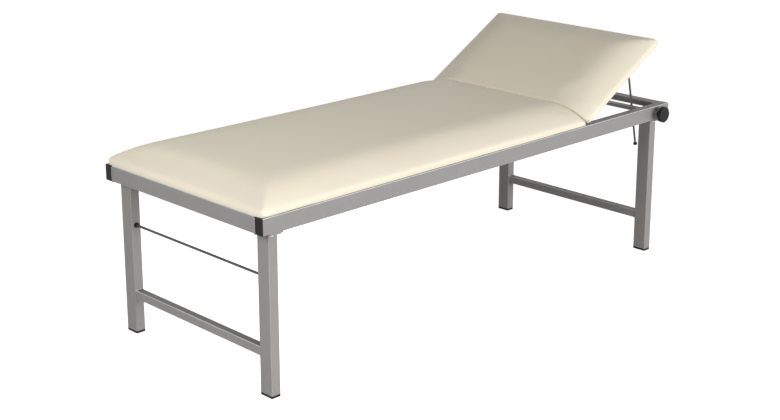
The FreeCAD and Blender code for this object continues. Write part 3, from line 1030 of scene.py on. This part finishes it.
    @staticmethod
    def _refine(piece: bpy.types.Object) -> None:
        """Subdivide the skin once and keep the result as its mesh.

        Args:
            piece: Cushion to refine.
        """
        finer = piece.modifiers.new("refine", "SUBSURF")
        finer.levels = 1
        finer.render_levels = 1
        settled = piece.evaluated_get(bpy.context.evaluated_depsgraph_get())
        mesh = bpy.data.meshes.new_from_object(settled)
        piece.modifiers.remove(finer)
        old = piece.data
        piece.data = mesh
        mesh.name = piece.name
        mesh.shade_smooth()
        bpy.data.meshes.remove(old)


@dataclass
class HemStaples:
    """Wire staples that hold the folded vinyl under one board."""

    shop: Workshop
    name: str
    section: Section
    inset: float = 0.041
    pitch: float = 0.048
    clear_of_hinge: float = 0.050
    crown: float = 0.010
    wire: float = 0.0012
    wire_flat: float = 0.7
    height: float = 0.0009
    sink: float = 0.0002
    stations: tuple[tuple[float, float], ...] = (
        (-0.5, 0.0), (-0.42, 0.8), (-0.3, 1.0), (0.3, 1.0), (0.42, 0.8), (0.5, 0.0)
    )
    rails: tuple[str, ...] = ()

    def build(self) -> None:
        """Drive the staples along the two sides and the free end."""
        sizes = self.shop.sizes
        y = sizes.half_width - self.inset
        first = sizes.free_end(self.section) - self.section.value * self.inset
        last = sizes.hinge_x + self.section.value * self.clear_of_hinge
        points: list[Vector] = []
        faces: list[list[int]] = []
        for number in range(int(abs(last - first) / self.pitch) + 1):
            x = first - self.section.value * number * self.pitch
            for side in Side:
                if not self._over_rail(x):
                    spot = Vector((x, side.value * y, sizes.rail_top))
                    self._staple(points, faces, spot, Vector((1.0, 0.0, 0.0)))
        across = int(2.0 * y / self.pitch)
        for number in range(1, across):
            spot = Vector((first, -y + 2.0 * y * number / across, sizes.rail_top))
            self._staple(points, faces, spot, Vector((0.0, 1.0, 0.0)))
        piece = self.shop.piece(self.name, points, faces, Finish.ZINC_STEEL, self.section.body)
        sizes.raise_on_hinge(piece, self.section)

    def _over_rail(self, x: float) -> bool:
        """Whether a staple at this X would press on a rail below the board."""
        boxes = [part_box(rail) for rail in self.rails]
        return any(low.x - self.crown < x < high.x + self.crown for low, high in boxes)

    def _staple(self, points: list[Vector], faces: list[list[int]], spot: Vector, along: Vector) -> None:
        """Add one staple: a flattened wire that dips into the vinyl at both ends.

        Args:
            points: Vertices so far.
            faces: Faces so far.
            spot: Middle of the staple on the underside.
            along: Direction of its crown.
        """
        across = Vector((-along.y, along.x, 0.0)) * (self.wire / 2.0)
        start, sides = len(points), 4
        for share, depth in self.stations:
            middle = spot + along * (share * self.crown) - Vector((0.0, 0.0, self.sink))
            low = Vector((0.0, 0.0, depth * self.height))
            flat = across * self.wire_flat
            points.extend([middle - across, middle - flat - low, middle + flat - low, middle + across])
        for number in range(len(self.stations) - 1):
            base = start + number * sides
            for side in range(sides):
                after = (side + 1) % sides
                faces.append([base + side, base + after, base + sides + after, base + sides + side])
        end = start + (len(self.stations) - 1) * sides
        faces.append([start, start + 3, start + 2, start + 1])
        faces.append([end, end + 1, end + 2, end + 3])


@dataclass
class WeldBeads:
    """Rippled weld beads where the tubes meet, painted over with the frame."""

    shop: Workshop
    radius: float = 0.0022
    pitch: float = 0.0042
    ripple: float = 0.16
    ring_points: int = 8
    below_rail_top: float = 0.004
    end_size: float = 0.35
    end_growth: float = 0.25
    under_boards: tuple[str, ...] = (
        "foot_rail",
        "head_rail",
        "hinge_rail",
        "cross_rail_foot",
        "cross_rail_middle",
    )
    stretchers: tuple[str, ...] = ("stretcher_foot", "stretcher_head")
    legs: tuple[str, ...] = ("leg_foot_near", "leg_foot_far", "leg_head_near", "leg_head_far")

    def build(self) -> None:
        """Lay the beads of every joint."""
        for node in self.under_boards:
            low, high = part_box(node)
            for side, y in ((Side.NEAR, low.y), (Side.FAR, high.y)):
                top = high.z - self.below_rail_top
                stops = ((low.x, top), (low.x, low.z), (high.x, low.z), (high.x, top))
                path = [Vector((x, y, z)) for x, z in stops]
                self._bead(f"weld_{node}_{side.name.lower()}", path)
        for node in self.stretchers:
            low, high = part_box(node)
            for side, y in ((Side.NEAR, low.y), (Side.FAR, high.y)):
                path = [Vector((x, y, z)) for x, z in self._loop(low.x, high.x, low.z, high.z)]
                self._bead(f"weld_{node}_{side.name.lower()}", path)
        for node in self.legs:
            low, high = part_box(node)
            path = [Vector((x, y, high.z)) for x, y in self._loop(low.x, high.x, low.y, high.y)]
            self._bead(f"weld_{node}", path)

    @staticmethod
    def _loop(low_a: float, high_a: float, low_b: float, high_b: float) -> list[tuple[float, float]]:
        """Corners of a rectangle, from the middle of one side round to it again."""
        start = ((low_a + high_a) / 2, low_b)
        return [start, (low_a, low_b), (low_a, high_b), (high_a, high_b), (high_a, low_b), start]

    def _bead(self, name: str, corners: Sequence[Vector]) -> None:
        """Lay one bead along a path.

        Args:
            name: Name of the piece.
            corners: Corners of the path.
        """
        line = self._walk(corners)
        points: list[Vector] = []
        faces: list[list[int]] = []
        travelled = 0.0
        for number, spot in enumerate(line):
            before = line[max(number - 1, 0)]
            after = line[min(number + 1, len(line) - 1)]
            ahead = (after - before).normalized()
            across = ahead.orthogonal().normalized()
            other = ahead.cross(across)
            travelled += (spot - before).length
            size = self.radius * (1.0 + self.ripple * math.sin(2 * math.pi * travelled / self.pitch))
            size *= min(1.0, self.end_size + self.end_growth * min(number, len(line) - 1 - number))
            for turn in range(self.ring_points):
                angle = 2 * math.pi * turn / self.ring_points
                points.append(spot + size * (math.cos(angle) * across + math.sin(angle) * other))
        for number in range(len(line) - 1):
            for turn in range(self.ring_points):
                after_turn = (turn + 1) % self.ring_points
                first, second = number * self.ring_points, (number + 1) * self.ring_points
                faces.append([first + turn, first + after_turn, second + after_turn, second + turn])
        faces.append(list(range(self.ring_points))[::-1])
        faces.append([len(points) - self.ring_points + turn for turn in range(self.ring_points)])
        self.shop.piece(name, points, faces, Finish.TUBE_PAINT, "frame")

    def _walk(self, corners: Sequence[Vector]) -> list[Vector]:
        """Even steps along a path.

        Args:
            corners: Corners of the path.

        Returns:
            Points about a third of the ripple's pitch apart.
        """
        line = [corners[0]]
        for first, second in zip(corners, corners[1:]):
            count = max(2, round((second - first).length / (self.pitch / 3)))
            line.extend(first.lerp(second, step / count) for step in range(1, count + 1))
        return line


@dataclass
class SolidsInPaint:
    """The CAD solids that stay as they are, each with the finish of its slot."""

    shop: Workshop
    plastic: tuple[str, ...] = ("rail_cap", "foot_plug", "roll_bush", "shaft_cap", "knob", "rod_end_stop")
    zinc: tuple[str, ...] = (
        "leg_bolts",
        "leg_nuts",
        "board_screws",
        "hinge_rail_screws",
        "hinge_board_screws",
        "hinge_fixed_leaf",
        "hinge_moving_leaf",
        "hinge_pin",
        "rod_bracket",
        "rod_pin",
        "clamp_spindle",
        "clamp_pad",
        "shaft_collar",
    )
    boards: tuple[str, ...] = ("main_board", "head_board")
    dark: tuple[str, ...] = ("roll_rod", "support_rod")

    def build(self) -> None:
        """Dress every solid."""
        for name, solid in self.shop.frame["nodes"].items():
            self.shop.palette.dress(solid, self._finish(name))

    def _finish(self, name: str) -> Finish:
        """Finish of a solid.

        Args:
            name: Name of the CAD node.

        Returns:
            Its finish.
        """
        if name.startswith(self.plastic):
            return Finish.BLACK_PLASTIC
        if name.startswith(self.zinc):
            return Finish.ZINC_STEEL
        if name in self.boards:
            return Finish.WHITE_BOARD
        if name in self.dark:
            return Finish.DARK_STEEL
        return Finish.TUBE_PAINT


@dataclass(frozen=True)
class Softbox:
    """A soft lamp with a rectangular face."""

    name: str
    place: Triple
    aim: Triple
    width: float
    height: float
    power: float
    spread: float = math.pi

    def hang(self) -> None:
        """Add the lamp to the scene."""
        data = bpy.data.lights.new(self.name, "AREA")
        data.shape = "RECTANGLE"
        data.size = self.width
        data.size_y = self.height
        data.energy = self.power
        data.spread = self.spread
        lamp = bpy.data.objects.new(self.name, data)
        lamp.location = self.place
        lamp.rotation_euler = (Vector(self.aim) - Vector(self.place)).to_track_quat("-Z", "Y").to_euler()
        bpy.context.scene.collection.objects.link(lamp)


@dataclass
class Studio:
    """Plain pale floor, soft lamps and the camera at the photograph's angle."""

    camera_place: Triple = (-3.4990, -3.4766, 1.9079)
    azimuth: float = math.radians(44.4069)
    elevation: float = math.radians(15.0679)
    focal_pixels: float = 1444.11
    lamps: tuple[Softbox, ...] = (
        Softbox("side_softbox", (0.5, -4.9, 1.4), (0.1, 0.0, 0.55), 4.2, 1.4, 226.0),
        Softbox("foot_softbox", (-3.0, -0.5, 1.9), (-0.8, 0.0, 0.85), 1.1, 0.8, 10.0, math.radians(75.0)),
        Softbox("leg_softbox", (-2.4, -2.3, 0.45), (-0.94, -0.35, 0.20), 0.8, 0.4, 0.5, math.radians(24.0)),
    )
    shift_y: float = -0.1
    floor_reach: float = 30.0
    floor_colour: Colour = (0.62, 0.62, 0.62)
    floor_glow: float = 0.85
    ambient: float = 0.25
    ambient_colour: Colour = (1.0, 0.965, 0.905)

    def build(self) -> None:
        """Set the floor, the world, the lamps, the camera and the view transform."""
        bpy.context.scene.view_settings.view_transform = "Standard"
        self._floor()
        self._world()
        for lamp in self.lamps:
            lamp.hang()
        self._camera()

    def _floor(self) -> None:
        """Lay a broad floor that shows white to the camera and keeps the shadow."""
        reach = self.floor_reach
        rim = [(-reach, -reach, 0.0), (reach, -reach, 0.0), (reach, reach, 0.0), (-reach, reach, 0.0)]
        mesh = bpy.data.meshes.new("studio_floor")
        mesh.from_pydata(rim, [], [(0, 1, 2, 3)])
        floor = bpy.data.objects.new("studio_floor", mesh)
        bpy.context.scene.collection.objects.link(floor)
        graph = Graph("pale_studio_floor")
        paper = graph.node("ShaderNodeBsdfDiffuse", None, {"Color": (*self.floor_colour, 1.0)})
        glow = graph.node("ShaderNodeEmission", None, {"Color": WHITE, "Strength": self.floor_glow})
        both = graph.node("ShaderNodeAddShader", None, {0: paper, 1: glow})
        graph.close(graph.node("ShaderNodeMixShader", None, {0: graph.white_to(), 1: paper, 2: both}))
        mesh.materials.append(graph.material)

    def _world(self) -> None:
        """White to the camera and in reflections, plain and dimmer as light."""
        world = bpy.data.worlds.new("plain_studio")
        graph = Graph("plain_studio", world)
        ambient = {"Color": (*self.ambient_colour, 1.0), "Strength": self.ambient}
        lit = graph.node("ShaderNodeBackground", None, ambient)
        seen = graph.node("ShaderNodeBackground", None, {"Color": WHITE, "Strength": 1.0})
        graph.close(graph.node("ShaderNodeMixShader", None, {0: graph.white_to(), 1: lit, 2: seen}))
        bpy.context.scene.world = world

    def _camera(self) -> None:
        """Set the camera where the photograph was taken from."""
        data = bpy.data.cameras.new("photo_camera")
        data.sensor_width = SENSOR_WIDTH
        data.lens = self.focal_pixels / PHOTO_WIDTH * SENSOR_WIDTH
        data.shift_y = self.shift_y
        camera = bpy.data.objects.new("photo_camera", data)
        ahead = Vector((
            math.sin(self.azimuth) * math.cos(self.elevation),
            math.cos(self.azimuth) * math.cos(self.elevation),
            -math.sin(self.elevation),
        ))
        camera.location = self.camera_place
        camera.rotation_euler = ahead.to_track_quat("-Z", "Y").to_euler()
        bpy.context.scene.collection.objects.link(camera)
        bpy.context.scene.camera = camera


def main() -> None:
    """Build every sub-assembly in order."""
    logging.basicConfig(level=logging.INFO, format="%(name)s: %(message)s")
    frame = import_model()
    shop = Workshop(frame, CouchSizes.from_frame(), Palette())
    SolidsInPaint(shop).build()
    WeldBeads(shop).build()
    Cushion(
        shop,
        name="main_cushion_cover",
        node="main_cushion",
        section=Section.MAIN,
        crease_gap=0.0055,
        crease_round=0.026,
        crease_depth=0.024,
        steps_along=120,
    ).build()
    Cushion(
        shop,
        name="head_cushion_cover",
        node="head_cushion",
        section=Section.HEAD,
        crease_gap=-0.005,
        crease_round=0.004,
        crease_depth=0.010,
        corner_radius=0.028,
        steps_along=60,
    ).build()
    HemStaples(
        shop,
        name="main_hem_staples",
        section=Section.MAIN,
        rails=("foot_rail", "cross_rail_foot", "cross_rail_middle", "hinge_rail"),
    ).build()
    HemStaples(shop, name="head_hem_staples", section=Section.HEAD).build()
    Studio().build()


if __name__ == "__main__":
    main()
